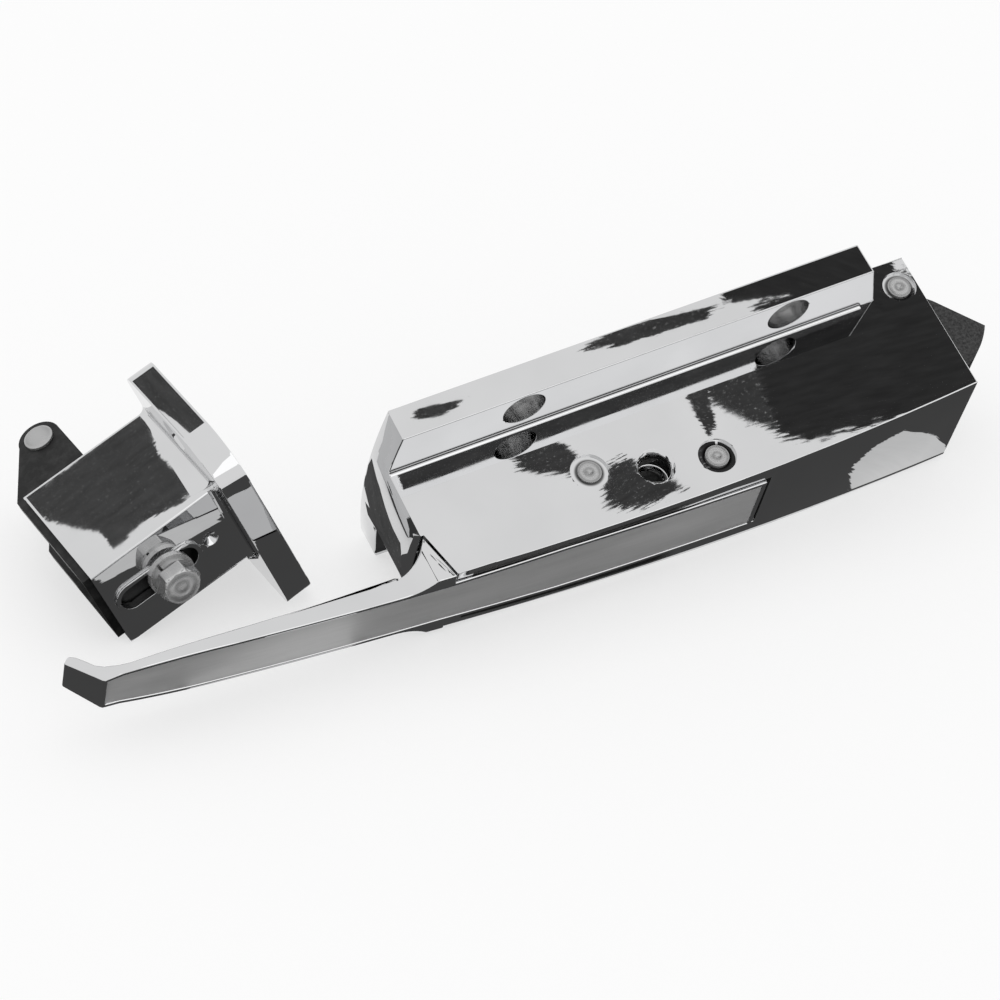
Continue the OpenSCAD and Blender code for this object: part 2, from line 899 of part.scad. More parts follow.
module tongue_spring() {
    turns = 3;
    rise = -tongue_wire * coil_pitch;
    near = -tongue_half - 0.5 - tongue_wire / 2;
    centre = [tongue_x, 0, tongue_z];
    pressing_x = tongue_x - drive_r - tongue_wire / 2 - 0.1;
    color([0.5, 0.51, 0.52])
        latch_lay()
            wire(concat([[pressing_x, near, drive_z + 0.5], [pressing_x - 1.6, near, tongue_z + 2.4]],
                helix(centre, tongue_coil, near, rise, turns, 180, 1),
                [[tongue_x - tongue_coil - 1, near + turns * rise, tongue_z - 0.8],
                [anchor_x - 3, near + turns * rise, anchor_z + anchor_r + tongue_wire / 2 + 0.1]]), tongue_wire / 2);
}

module spring_anchor() {
    half = hw(anchor_x) - wall + anchor_depth;
    color([0.6, 0.61, 0.62])
        latch_lay()
            cross_rod(anchor_x, anchor_z, anchor_r, -half, half);
}

// Strike

module along(length) {
    rotate([90, 0, 90])
        linear_extrude(height = length)
            children();
}

module housing_section() {
    polygon([[strike_back, -strike_half], [strike_front - ridge_radius, -strike_half],
        [strike_front, ridge_radius - strike_half], [strike_front, strike_half - ridge_radius],
        [strike_front - ridge_radius, strike_half], [strike_back, strike_half]]);
    for (s = [-1, 1])
        translate([strike_front - ridge_radius, s * (strike_half - ridge_radius)])
            circle(r = ridge_radius);
}

module plate_section() {
    back = strike_back;
    r = plate_round;
    c = plate_corner;
    polygon([[back + r, -plate_half], [plate_front - c, -plate_half], [plate_front, c - plate_half],
        [plate_front, plate_half - r], [plate_front - r, plate_half], [back + r, plate_half],
        [back, plate_half - r], [back, r - plate_half]]);
    translate([plate_front - c, c - plate_half])
        circle(r = c, $fn = 96);
    translate([plate_front - r, plate_half - r])
        circle(r = r);
    translate([back + r, plate_half - r])
        circle(r = r);
    translate([back + r, r - plate_half])
        circle(r = r);
}

module slot_plan(extra) {
    // drawn in x and z of the strike frame
    translate([slot_start, -slot_half - extra])
        square([slot_end - slot_start, 2 * (slot_half + extra)]);
    translate([slot_start, 0])
        circle(r = slot_half + extra);
    translate([slot_end, 0])
        circle(r = slot_half + extra);
}

module out_of_front(y0, y1) {
    translate([0, y1, 0])
        rotate([90, 0, 0])
            linear_extrude(height = y1 - y0)
                children();
}

module strike_body_shape() {
    difference() {
        union() {
            along(strike_length + 1)
                housing_section();
            translate([strike_length, 0, 0])
                along(plate_thick)
                    plate_section();
            out_of_front(strike_front - 0.5, strike_front + slot_rim)
                slot_plan(slot_rim_w);
            // fillets where the housing meets the flange
            for (s = [-1, 1])
                out_of_front_fillet(s);
            translate([0, 0, -strike_half])
                linear_extrude(height = 2 * strike_half)
                    difference() {
                        translate([strike_length - plate_fillet, strike_front - 0.02])
                            square(plate_fillet + 0.02);
                        translate([strike_length - plate_fillet, strike_front + plate_fillet])
                            circle(r = plate_fillet);
                    }
        }
        translate([-eps, strike_back - eps, -strike_half + strike_wall])
            cube([strike_length - strike_wall + eps, strike_front - strike_wall - strike_back + eps,
                2 * (strike_half - strike_wall)]);
        out_of_front(strike_front - strike_wall - eps, strike_front + slot_rim + eps)
            slot_plan(0);
        translate([dimple_x, strike_front + 0.01, 0])
            rotate([90, 0, 0])
                cylinder(r1 = dimple_dia / 2, r2 = dimple_dia / 10, h = dimple_depth);
        for (s = [-1, 1])
            translate([strike_length - eps, plate_screw_y, s * plate_screw])
                rotate([0, 90, 0]) {
                    cylinder(d = screw_hole, h = plate_thick + 2 * eps);
                    cylinder(r1 = screw_hole / 2 + sink_depth + eps, r2 = screw_hole / 2, h = sink_depth + eps);
                }
    }
}

module out_of_front_fillet(s) {
    translate([0, strike_front - ridge_radius, 0])
        rotate([90, 0, 0])
            linear_extrude(height = strike_front - ridge_radius - strike_back)
                difference() {
                    translate([strike_length - plate_fillet, s > 0 ? strike_half - 0.02 : -strike_half - plate_fillet])
                        square(plate_fillet + 0.02);
                    translate([strike_length - plate_fillet, s * (strike_half + plate_fillet)])
                        circle(r = plate_fillet);
                }
}

module strike_body() {
    color([0.82, 0.83, 0.85])
        strike_lay()
            strike_body_shape();
}

module ear_plan() {
    difference() {
        union() {
            polygon([[-bracket_out, bracket_front], [-bracket_out, strike_back - 2.4],
                [roller_x - ear_radius + 0.6, roller_y - 2.1], [roller_x + ear_radius, roller_y],
                [roller_x + ear_radius + 0.2, strike_back + 3.6], [bracket_in, strike_back + 7.6],
                [bracket_in, bracket_front]]);
            translate([roller_x, roller_y])
                circle(r = ear_radius);
        }
        translate([roller_x, roller_y])
            circle(r = roller_pin_dia / 2);
    }
}

module strike_bracket() {
    color([0.14, 0.14, 0.15])
        strike_lay() {
            for (z = [-ear_outer, ear_outer - ear_thick])
                translate([0, 0, z])
                    linear_extrude(height = ear_thick)
                        ear_plan();
            difference() {
                translate([-bracket_out, bracket_front - bracket_thick, 0.5 - ear_outer])
                    cube([bracket_in + bracket_out, bracket_thick, 2 * ear_outer - 1]);
                translate([bolt_x, bracket_front + eps, 0])
                    rotate([90, 0, 0])
                        cylinder(r = bolt_dia / 2 + bracket_play, h = bracket_thick + 2 * eps);
            }
        }
}

module roller() {
    half = ear_outer - ear_thick - washer_thick - 0.2;
    color([0.62, 0.63, 0.65])
        strike_lay()
            translate([roller_x, roller_y, -half])
                difference() {
                    cylinder(r = roller_radius, h = 2 * half);
                    translate([0, 0, -eps])
                        cylinder(r = roller_pin_dia / 2 + pin_play, h = 2 * half + 2 * eps);
                }
}

module roller_pin() {
    color([0.2, 0.2, 0.21])
        strike_lay()
            translate([roller_x, roller_y, 0]) {
                translate([0, 0, -ear_outer - 0.02])
                    cylinder(d = roller_pin_dia, h = 2 * ear_outer + 0.04);
                for (s = [-1, 1])
                    rotate([s > 0 ? 0 : 180, 0, 0])
                        translate([0, 0, ear_outer + 0.01]) {
                            cylinder(d = roller_head, h = 0.7);
                            translate([0, 0, 0.7])
                                cylinder(d1 = roller_head, d2 = roller_head - 1.4, h = 0.5);
                        }
            }
}

module roller_washers() {
    low = ear_outer - ear_thick - washer_thick - 0.05;
    color([0.7, 0.71, 0.72])
        strike_lay()
            for (s = [-1, 1])
                translate([roller_x, roller_y, s > 0 ? low : -low - washer_thick])
                    difference() {
                        cylinder(r = washer_r, h = washer_thick);
                        translate([0, 0, -eps])
                            cylinder(r = roller_pin_dia / 2 + press_play, h = washer_thick + 2 * eps);
                    }
}

module adjusting_bolt() {
    low = bracket_front - bracket_thick - nut_thick - 1.5;
    color([0.7, 0.71, 0.73])
        strike_lay() {
            translate([bolt_x, head_low + head_thick, 0])
                rotate([90, 0, 0])
                    intersection() {
                        cylinder(r = hex_r, h = head_thick, $fn = 6);
                        cylinder(r1 = hex_flats / 2 - 0.2, r2 = hex_flats / 2 + 7, h = head_thick);
                    }
            translate([bolt_x, head_low + 0.1, 0])
                rotate([90, 0, 0])
                    cylinder(d = bolt_dia, h = head_low + 0.1 - low);
        }
}

module lock_washer() {
    color([0.66, 0.67, 0.7])
        strike_lay()
            translate([bolt_x, head_low, 0])
                rotate([90, 0, 0])
                    difference() {
                        cylinder(r = lock_r, h = lock_thick);
                        translate([0, 0, -eps])
                            cylinder(r = bolt_dia / 2 + 0.1, h = lock_thick + 2 * eps);
                        rotate([0, 0, 250])
                            translate([0, -0.4, -eps])
                                cube([8, 0.8, lock_thick + 2 * eps]);
                    }
}

module flat_washer() {
    color([0.7, 0.71, 0.73])
        strike_lay()
            translate([bolt_x, washer_low + flat_thick, 0])
                rotate([90, 0, 0])
                    difference() {
                        cylinder(r = flat_r, h = flat_thick);
                        translate([0, 0, -eps])
                            cylinder(r = bolt_dia / 2 + bracket_play, h = flat_thick + 2 * eps);
                    }
}

module clamp_nut() {
    color([0.7, 0.71, 0.73])
        strike_lay()
            translate([bolt_x, bracket_front - bracket_thick, 0])
                rotate([90, 0, 0])
                    difference() {
                        cylinder(r = hex_r, h = nut_thick, $fn = 6);
                        translate([0, 0, -eps])
                            cylinder(d = bolt_dia, h = nut_thick + 2 * eps);
                    }
}

latch_body();
handle();
handle_inlay();
handle_pin();
stop_pin();
tongue_pin();
handle_bushes();
spring_sleeve();
handle_spring();
link_pin();
link_spacers();
drive_link();
tongue();
tongue_drive_pin();
tongue_bush();
tongue_spring();
spring_anchor();
strike_body();
strike_bracket();
roller();
roller_pin();
roller_washers();
adjusting_bolt();
lock_washer();
flat_washer();
clamp_nut();
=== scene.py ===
# Looks of the walk-in cooler latch and its roller strike: camera, studio light, floor and materials.
import math

import bpy
from mathutils import Matrix, Vector


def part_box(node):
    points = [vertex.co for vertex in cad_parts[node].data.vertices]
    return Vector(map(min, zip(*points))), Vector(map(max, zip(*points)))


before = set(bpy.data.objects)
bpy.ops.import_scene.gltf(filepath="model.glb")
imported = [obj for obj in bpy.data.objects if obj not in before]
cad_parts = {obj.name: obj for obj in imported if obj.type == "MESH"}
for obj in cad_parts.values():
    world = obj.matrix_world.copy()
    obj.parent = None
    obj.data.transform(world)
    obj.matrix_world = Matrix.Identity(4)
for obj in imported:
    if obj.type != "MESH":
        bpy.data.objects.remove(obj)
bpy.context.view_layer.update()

# Camera, as the photograph was taken. Angles in degrees, lengths in metres.
AIM = Vector((-0.00816, -0.02272, 0.02023))
DISTANCE = 0.9755
AZIMUTH = -27.335
ELEVATION = 37.186
ROLL = 1.16
LENS_MM = 135.07
SENSOR_MM = 36.0
PICTURE = 1000
CLIP_START = 0.05

# Lay of the latch on the floor, as the CAD turns it
LAY_ANGLE = math.radians(90 + 23.814)
TAPER = math.atan(0.03)
LATCH_ORIGIN = Vector((-0.01846, -0.00807, 0.03114))
LATCH_AXES = (Matrix.Rotation(LAY_ANGLE, 3, "X") @ Matrix.Rotation(TAPER, 3, "Z")).normalized()

# Sizes of the latch that the materials follow, in metres. FRONT_FALL is the front's slope.
BODY_HALF = 0.0142
WALL_THICK = 0.0022
FRONT_FALL = 0.047
FRONT_TOP = 0.04907
INSIDE_LEFT = -0.014
TONGUE_END = 0.0051
FLANGE_WIDE = 0.0158
FLANGE_THICK = 0.0092
PIN_RADIUS = 0.003175

# Looks of the body's screw holes and cavity, and of the painted shade round its pins.
# BORE_FADE is in metres of depth, and the pins' _FULL number is the share of the reach where their painted
# shade is full.
BORE_FADE = (0.0003, 0.0006)
BORE_TONE = 0.55
BORE_ROUGH = 0.2
CAVITY_ROUGH = 0.5
PIN_SHADE_REACH = 0.0011
PIN_SHADE_FULL = 0.3
PIN_SHADE_TONE = 0.10

# Planes that hold the studio's cards: a point and a normal
CEILING = (Vector((0, 0, 0.6)), Vector((0, 0, -1)))
BACK_PANEL = (Vector((0, 1.1, 0)), Vector((0, -1, 0)))
FRONT_PANEL = (Vector((0, -1.25, 0)), Vector((0, 1, 0)))
NEAR_PANEL = (Vector((0, -0.25, 0)), Vector((0, 1, 0)))
FLOOR_CARD = (Vector((0, 0, 0.0012)), Vector((0, 0, 1)))

# Rounding of sharp edges: width in metres and kind of bevel
SOFT_EDGES = {
    "latch_body": (0.0004, "ABSOLUTE"),
    "handle": (0.0005, "OFFSET"),
    "strike_body": (0.0006, "ABSOLUTE"),
    "adjusting_bolt": (0.0003, "OFFSET"),
}
WELD_REACH = 0.000002
FLAT_ANGLE = math.radians(0.2)
SHARP_ANGLE = math.radians(35)
BEVEL_STEPS = 3

SIDE_PINS = ("handle_pin", "stop_pin", "tongue_pin")

# Faces that mirror the studio, each by a pixel that lies on it
FACES = {
    "wall": (560, 540),
    "edge": (520, 370),
    "flange": (640, 370),
    "front": (900, 450),
    "end": (380, 520),
    "notch": (380, 545),
    "strike_top": (100, 500),
    "strike_front": (200, 545),
    "rim": (165, 400),
}

# Length and width of a brush stroke at a card's frayed rim, in pixels
STROKE_LONG = 26.0
STROKE_WIDE = 2.2

# Reach of the strokes into the rim, and where the frayed card starts and gets solid
FRAY = 1.7
FRAY_CLEAR = 1.29
FRAY_SOLID = 1.39

# Brightness of the pale speckles, and where the noise starts and fills a speckle
SPECKLE_TONE = 0.8
SPECKLE_FADE = (0.60, 0.72)

# Outlines of the dark cards, by the pixels where the chrome shows them
WALL_RIGHT = ((742, 345), (750, 390), (778, 434), (808, 440),
              (932, 408), (1020, 372), (990, 240), (860, 290))
WALL_LEFT_PATCH = ((506, 446), (535, 437), (562, 442), (590, 462), (570, 474), (520, 470))
WALL_MIDDLE_PATCH = ((602, 466), (624, 456), (672, 478), (682, 488), (640, 508), (606, 506))
WALL_FEATHER = ((694, 382), (754, 362), (768, 405), (776, 428), (745, 420), (712, 402))
WALL_STREAK = ((682, 386), (706, 386), (715, 425), (708, 434), (698, 420))
EDGE_PATCH = ((582, 350), (604, 332), (684, 312), (712, 306), (708, 318), (624, 345))
EDGE_SPOT = ((408, 420), (416, 409), (463, 399), (455, 409), (430, 418))
EDGE_RIGHT = ((722, 305), (716, 290), (760, 262), (900, 215), (920, 250), (880, 278))
WALL_BAND = ((396, 473), (880, 298), (880, 315), (403, 489))
WALL_BAND_RIGHT = ((752, 350), (905, 292), (905, 345), (752, 392))
END_BAND = ((350, 440), (376, 478), (390, 501), (405, 522), (421, 538),
            (414, 572), (388, 549), (362, 521), (330, 478))
NOTCH = ((371, 529), (377, 526), (390, 551), (373, 555))
STRIKE_TOP_DARK = ((10, 505), (60, 473), (100, 440), (133, 405), (150, 428), (158, 455), (195, 486),
                   (180, 502), (148, 518), (113, 549), (100, 532), (60, 524))
RIM_DARK = ((110, 378), (155, 340), (192, 392), (206, 430), (196, 438), (176, 420), (140, 396))

# Outlines of the pale patches among the dark cards
FRONT_PALE = ((847, 500), (852, 466), (870, 438), (895, 422),
              (926, 434), (944, 446), (950, 475), (900, 510))
STRIKE_PALE = ((84, 572), (101, 586), (126, 573), (181, 546),
               (217, 524), (222, 512), (218, 486), (150, 520))

# Looks of the cards: tone, share of pale speckles, contrast of the clouds
CARD_LOOKS = {
    "black": (0.035, 0.0, 0.2),
    "dark": (0.055, 0.5, 0.2),
    "dim": (0.075, 0.15, 0.2),
    "pale": (0.70, 0.0, 0.03),
}

# Cards: name, faces that mirror it in turn, outline, plane, look, rim, stroke direction, lift off the plane
DARK_CARDS = (
    ("card_wall_right", ("wall",), WALL_RIGHT, CEILING, "black", 0.16, (1.0, -0.25), 0.0),
    ("card_wall_left", ("wall",), WALL_LEFT_PATCH, CEILING, "dark", 0.5, (1.0, -0.25), 0.0),
    ("card_wall_middle", ("wall",), WALL_MIDDLE_PATCH, CEILING, "dark", 0.42, (1.0, -0.5), 0.0),
    ("card_wall_feather", ("wall",), WALL_FEATHER, CEILING, "dark", 0.6, (1.0, -0.3), 0.001),
    ("card_wall_streak", ("wall",), WALL_STREAK, CEILING, "dark", 0.5, (1.0, 0.1), 0.0),
    ("card_edge_patch", ("edge",), EDGE_PATCH, CEILING, "dark", 0.3, (1.0, -0.3), 0.002),
    ("card_edge_spot", ("edge",), EDGE_SPOT, CEILING, "dark", 0.4, (1.0, -0.3), 0.002),
    ("card_edge_right", ("edge",), EDGE_RIGHT, CEILING, "black", 0.08, (1.0, 0.3), 0.002),
    ("card_band", ("wall", "flange"), WALL_BAND, NEAR_PANEL, "dim", 0.01, (1.0, -0.37), 0.0),
    ("card_band_right", ("wall", "flange"), WALL_BAND_RIGHT, NEAR_PANEL, "black", 0.06, (1.0, -0.3), 0.002),
    ("card_strike_top", ("strike_top",), STRIKE_TOP_DARK, BACK_PANEL, "dim", 0.1, (0.7, -0.5), 0.0),
    ("card_rim", ("rim",), RIM_DARK, BACK_PANEL, "dim", 0.1, (0.7, 0.7), 0.003),
    ("card_end", ("end",), END_BAND, FLOOR_CARD, "dim", 0.002, (0.5, 1.0), 0.0),
    ("card_notch", ("notch",), NOTCH, FLOOR_CARD, "black", 0.05, (1.0, -0.25), 0.0),
)
PALE_CARDS = (
    ("card_front_pale", ("front",), FRONT_PALE, FLOOR_CARD, "pale", 0.12, (1.0, 0.3), 0.001),
    ("card_strike_pale", ("strike_front",), STRIKE_PALE, FLOOR_CARD, "pale", 0.1, (1.0, -0.5), 0.001),
)

# Plain dark panels on the floor: name, and their left, right, near and far edges
FLOOR_PANELS = (
    ("card_floor", -0.20, 0.34, -0.42, -0.012),
    ("card_strike_floor", -0.20, -0.07, -0.012, 0.02),
)
FLOOR_PANEL_TONE = 0.07

# Bright panel that stands in front: its left, right, lower and upper edges, and its strength
SOFTBOX = (-0.20, 1.20, 0.5, 1.5)
SOFTBOX_STRENGTH = 1.55

# Floor: half its side in metres, its tone, and the share of plain white that is seen on it
FLOOR_HALF = 6.0
FLOOR_TONE = 0.94
FLOOR_WHITE = 0.6

# Colour sockets of the Mix node: two inputs and the output
MIX_FIRST = 6
MIX_SECOND = 7
MIX_RESULT = 2


def place_camera():
    a, e = math.radians(AZIMUTH), math.radians(ELEVATION)
    back = Vector((math.sin(a) * math.cos(e), -math.cos(a) * math.cos(e), math.sin(e)))
    right = Vector((math.cos(a), math.sin(a), 0.0))
    up = back.cross(right)
    turn = math.radians(ROLL)
    across = right * math.cos(turn) - up * math.sin(turn)
    upright = up * math.cos(turn) + right * math.sin(turn)
    axes = (across, upright, back)
    data = bpy.data.cameras.new("camera")
    data.lens = LENS_MM
    data.sensor_width = SENSOR_MM
    data.clip_start = CLIP_START
    camera = bpy.data.objects.new("camera", data)
    camera.matrix_world = Matrix.Translation(AIM + back * DISTANCE) @ Matrix(axes).transposed().to_4x4()
    bpy.context.scene.collection.objects.link(camera)
    bpy.context.scene.camera = camera


# Node helpers

def new_material(name):
    material = bpy.data.materials.new(name)
    material.use_nodes = True
    tree = material.node_tree
    return material, tree, tree.nodes["Principled BSDF"]


def add(tree, kind, **settings):
    node = tree.nodes.new(kind)
    for key, value in settings.items():
        setattr(node, key, value)
    return node


def link(tree, source, target):
    tree.links.new(source, target)


def object_point(tree):
    return add(tree, "ShaderNodeTexCoord").outputs["Object"]


def local_point(tree, origin, axes):
    """The shaded point in a frame of its own, in metres."""
    mapping = add(tree, "ShaderNodeMapping", vector_type="TEXTURE")
    mapping.inputs["Location"].default_value = origin
    mapping.inputs["Rotation"].default_value = axes.to_euler("XYZ")
    link(tree, object_point(tree), mapping.inputs["Vector"])
    return mapping.outputs["Vector"]


def latch_point(tree):
    return local_point(tree, LATCH_ORIGIN, LATCH_AXES)


def noise(tree, scale, detail=3.0, roughness=0.5, stretch=(1, 1, 1), point=None):
    mapping = add(tree, "ShaderNodeMapping")
    mapping.inputs["Scale"].default_value = stretch
    texture = add(tree, "ShaderNodeTexNoise")
    texture.inputs["Scale"].default_value = scale
    texture.inputs["Detail"].default_value = detail
    texture.inputs["Roughness"].default_value = roughness
    link(tree, point or object_point(tree), mapping.inputs["Vector"])
    link(tree, mapping.outputs["Vector"], texture.inputs["Vector"])
    return texture.outputs["Fac"]


def ramp(tree, value, stops):
    node = add(tree, "ShaderNodeValToRGB")
    elements = node.color_ramp.elements
    while len(elements) < len(stops):
        elements.new(0.5)
    for element, (place, colour) in zip(elements, stops):
        element.position = place
        element.color = (*colour, 1.0)
    link(tree, value, node.inputs["Fac"])
    return node.outputs["Color"]


def grey_ramp(tree, value, places, tones):
    """Grey that runs from the first tone to the second between two places of the value."""
    return ramp(tree, value, [(place, grey(tone)) for place, tone in zip(places, tones)])


def math_node(tree, operation, first, second=None):
    node = add(tree, "ShaderNodeMath", operation=operation)
    for socket, value in zip(node.inputs, (first, second)):
        if isinstance(value, (int, float)):
            socket.default_value = value
        elif value is not None:
            link(tree, value, socket)
    return node.outputs[0]


def fade(tree, value, start, end):
    """0 below start, 1 above end; start may be the larger one."""
    node = add(tree, "ShaderNodeMapRange", interpolation_type="SMOOTHSTEP")
    node.inputs["From Min"].default_value = min(start, end)
    node.inputs["From Max"].default_value = max(start, end)
    node.inputs["To Min"].default_value = 0.0 if start < end else 1.0
    node.inputs["To Max"].default_value = 1.0 if start < end else 0.0
    link(tree, value, node.inputs["Value"])
    return node.outputs["Result"]


def mix_colour(tree, factor, first, second):
    node = add(tree, "ShaderNodeMix", data_type="RGBA")
    link(tree, factor, node.inputs["Factor"])
    for socket, value in zip((node.inputs[MIX_FIRST], node.inputs[MIX_SECOND]), (first, second)):
        if isinstance(value, tuple):
            socket.default_value = (*value, 1.0)
        else:
            link(tree, value, socket)
    return node.outputs[MIX_RESULT]


def bump(tree, shader, height, strength, distance):
    node = add(tree, "ShaderNodeBump")
    node.inputs["Strength"].default_value = strength
    node.inputs["Distance"].default_value = distance
    link(tree, height, node.inputs["Height"])
    link(tree, node.outputs["Normal"], shader.inputs["Normal"])


def grey(value):
    return (value, value, value)


def distance_from_axis(tree, centre, axes):
    """Distance of the shaded point from the y axis of a frame at a centre."""
    split = add(tree, "ShaderNodeSeparateXYZ")
    link(tree, local_point(tree, centre, axes), split.inputs[0])
    across = math_node(tree, "MULTIPLY", split.outputs["X"], split.outputs["X"])
    up = math_node(tree, "MULTIPLY", split.outputs["Z"], split.outputs["Z"])
    return math_node(tree, "SQRT", math_node(tree, "ADD", across, up))


# Materials

def polished_chrome(name):
    """Mirror chrome with faint waves in the polish and slight haze."""
    material, tree, shader = new_material(name)
    shader.inputs["Metallic"].default_value = 1.0
    tint = ramp(tree, noise(tree, scale=40.0), [(0.2, (0.605, 0.607, 0.612)), (0.8, (0.66, 0.662, 0.667))])
    link(tree, tint, shader.inputs["Base Color"])
    haze = grey_ramp(tree, noise(tree, scale=140.0, detail=4.0), (0.35, 0.75), (0.006, 0.022))
    link(tree, haze, shader.inputs["Roughness"])
    bump(tree, shader, noise(tree, scale=26.0, detail=1.0), strength=0.012, distance=0.001)
    return material, tree, shader, tint, haze


def body_chrome():
    """Chrome with painted shade round the pins, duller in the screw holes, and the body's cavity painted
    dark and grainy as shade.
    """
    material, tree, shader, tint, haze = polished_chrome("body_chrome")
    split = add(tree, "ShaderNodeSeparateXYZ")
    link(tree, latch_point(tree), split.inputs[0])
    x, z = split.outputs["X"], split.outputs["Z"]
    half = math_node(tree, "ADD", math_node(tree, "MULTIPLY", x, math.tan(TAPER)), BODY_HALF)
    beside = math_node(tree, "SUBTRACT", math_node(tree, "ABSOLUTE", split.outputs["Y"]), half)
    inside = inside_of_body(tree, x, z, beside)
    bored = least_depth(tree, [
        math_node(tree, "SUBTRACT", FLANGE_THICK, z),
        z,
        math_node(tree, "SUBTRACT", FLANGE_WIDE, beside),
        beside,
        math_node(tree, "SUBTRACT", x, INSIDE_LEFT)])
    dull = fade(tree, bored, *BORE_FADE)
    # Painted shade: the body's cavity is painted nearly black with a grainy tone, and made rougher.
    grain = noise(tree, scale=800.0, detail=5.0, roughness=0.65)
    cavity_shade = grey_ramp(tree, grain, (0.3, 0.7), (0.03, 0.12))
    tone = mix_colour(tree, dull, tint, grey(BORE_TONE))
    # Painted shade: each side pin gets a dark ring round it, darkest next to the pin.
    for pin in SIDE_PINS:
        reach = distance_from_axis(tree, middle_of(pin), LATCH_AXES)
        pin_shade = fade(tree, reach, PIN_RADIUS + PIN_SHADE_REACH, PIN_RADIUS + PIN_SHADE_FULL * PIN_SHADE_REACH)
        tone = mix_colour(tree, pin_shade, tone, grey(PIN_SHADE_TONE))
    link(tree, mix_colour(tree, inside, tone, cavity_shade), shader.inputs["Base Color"])
    rough = mix_colour(tree, dull, haze, grey(BORE_ROUGH))
    link(tree, mix_colour(tree, inside, rough, grey(CAVITY_ROUGH)), shader.inputs["Roughness"])
    return material


def least_depth(tree, depths):
    """Smallest of some depths below a solid's sides."""
    least = depths[0]
    for depth in depths[1:]:
        least = math_node(tree, "MINIMUM", least, depth)
    return least


def inside_of_body(tree, x, z, beside):
    """1 in the body's cavity, 0 on its outside."""
    right_end = (LATCH_AXES.transposed() @ (middle_of("tongue_pin") - LATCH_ORIGIN)).x + TONGUE_END
    front = math_node(tree, "SUBTRACT", FRONT_TOP, math_node(tree, "MULTIPLY", x, FRONT_FALL))
    depth = least_depth(tree, [
        math_node(tree, "MULTIPLY", beside, -1.0),
        math_node(tree, "SUBTRACT", front, z),
        math_node(tree, "SUBTRACT", right_end, x),
        math_node(tree, "SUBTRACT", x, INSIDE_LEFT)])
    return fade(tree, depth, WALL_THICK * 0.8, WALL_THICK)


def satin_panel():
    """Satin inlay of the handle: fine lengthways brushing over a soft, cloudy tone."""
    material, tree, shader = new_material("satin_panel")
    shader.inputs["Metallic"].default_value = 0.35
    point = latch_point(tree)
    grain = noise(tree, scale=900.0, detail=3.0, roughness=0.6, stretch=(0.05, 1.0, 1.0), point=point)
    soft = noise(tree, scale=45.0, detail=2.0, roughness=0.5, stretch=(0.3, 1.0, 1.0), point=point)
    cloud = grey_ramp(tree, soft, (0.3, 0.7), (0.34, 0.50))
    lines = grey_ramp(tree, grain, (0.3, 0.7), (0.88, 1.0))
    tint = add(tree, "ShaderNodeMix", data_type="RGBA", blend_type="MULTIPLY")
    tint.inputs["Factor"].default_value = 1.0
    link(tree, cloud, tint.inputs[MIX_FIRST])
    link(tree, lines, tint.inputs[MIX_SECOND])
    link(tree, tint.outputs[MIX_RESULT], shader.inputs["Base Color"])
    link(tree, grey_ramp(tree, grain, (0.3, 0.7), (0.34, 0.46)), shader.inputs["Roughness"])
    bump(tree, shader, grain, strength=0.12, distance=0.00005)
    return material


def turned_steel(name, tone, rough):
    """Turned or plated steel with faint tool marks."""
    material, tree, shader = new_material(name)
    shader.inputs["Metallic"].default_value = 0.75
    marks = noise(tree, scale=700.0, detail=4.0, roughness=0.6)
    link(tree, grey_ramp(tree, marks, (0.3, 0.7), (tone * 0.9, tone * 1.1)), shader.inputs["Base Color"])
    link(tree, grey_ramp(tree, marks, (0.3, 0.7), (rough - 0.05, rough + 0.08)), shader.inputs["Roughness"])
    bump(tree, shader, marks, strength=0.12, distance=0.00006)
    return material


def ringed_steel(name, piece, axes, tone, rough, pitch):
    """Turned end of a pin or bolt, with rings round its axis."""
    material, tree, shader = new_material(name)
    shader.inputs["Metallic"].default_value = 0.75
    reach = distance_from_axis(tree, middle_of(piece), axes)
    wander = math_node(tree, "MULTIPLY", noise(tree, scale=300.0, detail=2.0), pitch * 0.2)
    turns = math_node(tree, "MULTIPLY", math_node(tree, "ADD", reach, wander), 2 * math.pi / pitch)
    rings = math_node(tree, "ADD", math_node(tree, "MULTIPLY", math_node(tree, "SINE", turns), 0.5), 0.5)
    shades = [(0.0, grey(tone * 0.74)), (0.55, grey(tone)), (1.0, grey(tone * 1.12))]
    link(tree, ramp(tree, rings, shades), shader.inputs["Base Color"])
    haze = grey_ramp(tree, noise(tree, scale=600.0, detail=4.0), (0.3, 0.7), (rough, rough + 0.12))
    link(tree, haze, shader.inputs["Roughness"])
    bump(tree, shader, rings, strength=0.35, distance=0.00012)
    return material


def black_steel():
    """Black oxide sheet with rubbed, greyer spots."""
    material, tree, shader = new_material("black_steel")
    shader.inputs["Metallic"].default_value = 0.6
    rub = noise(tree, scale=260.0, detail=6.0, roughness=0.6)
    link(tree, grey_ramp(tree, rub, (0.45, 0.85), (0.010, 0.045)), shader.inputs["Base Color"])
    link(tree, grey_ramp(tree, rub, (0.3, 0.8), (0.38, 0.55)), shader.inputs["Roughness"])
    bump(tree, shader, noise(tree, scale=1500.0, detail=3.0), strength=0.2, distance=0.00004)
    return material


def cast_tongue():
    """Dark grainy casting."""
    material, tree, shader = new_material("cast_tongue")
    shader.inputs["Metallic"].default_value = 0.55
    grain = noise(tree, scale=1400.0, detail=5.0, roughness=0.7)
    link(tree, grey_ramp(tree, grain, (0.35, 0.75), (0.010, 0.085)), shader.inputs["Base Color"])
    link(tree, grey_ramp(tree, grain, (0.35, 0.75), (0.42, 0.6)), shader.inputs["Roughness"])
    bump(tree, shader, grain, strength=0.5, distance=0.00015)
    return material


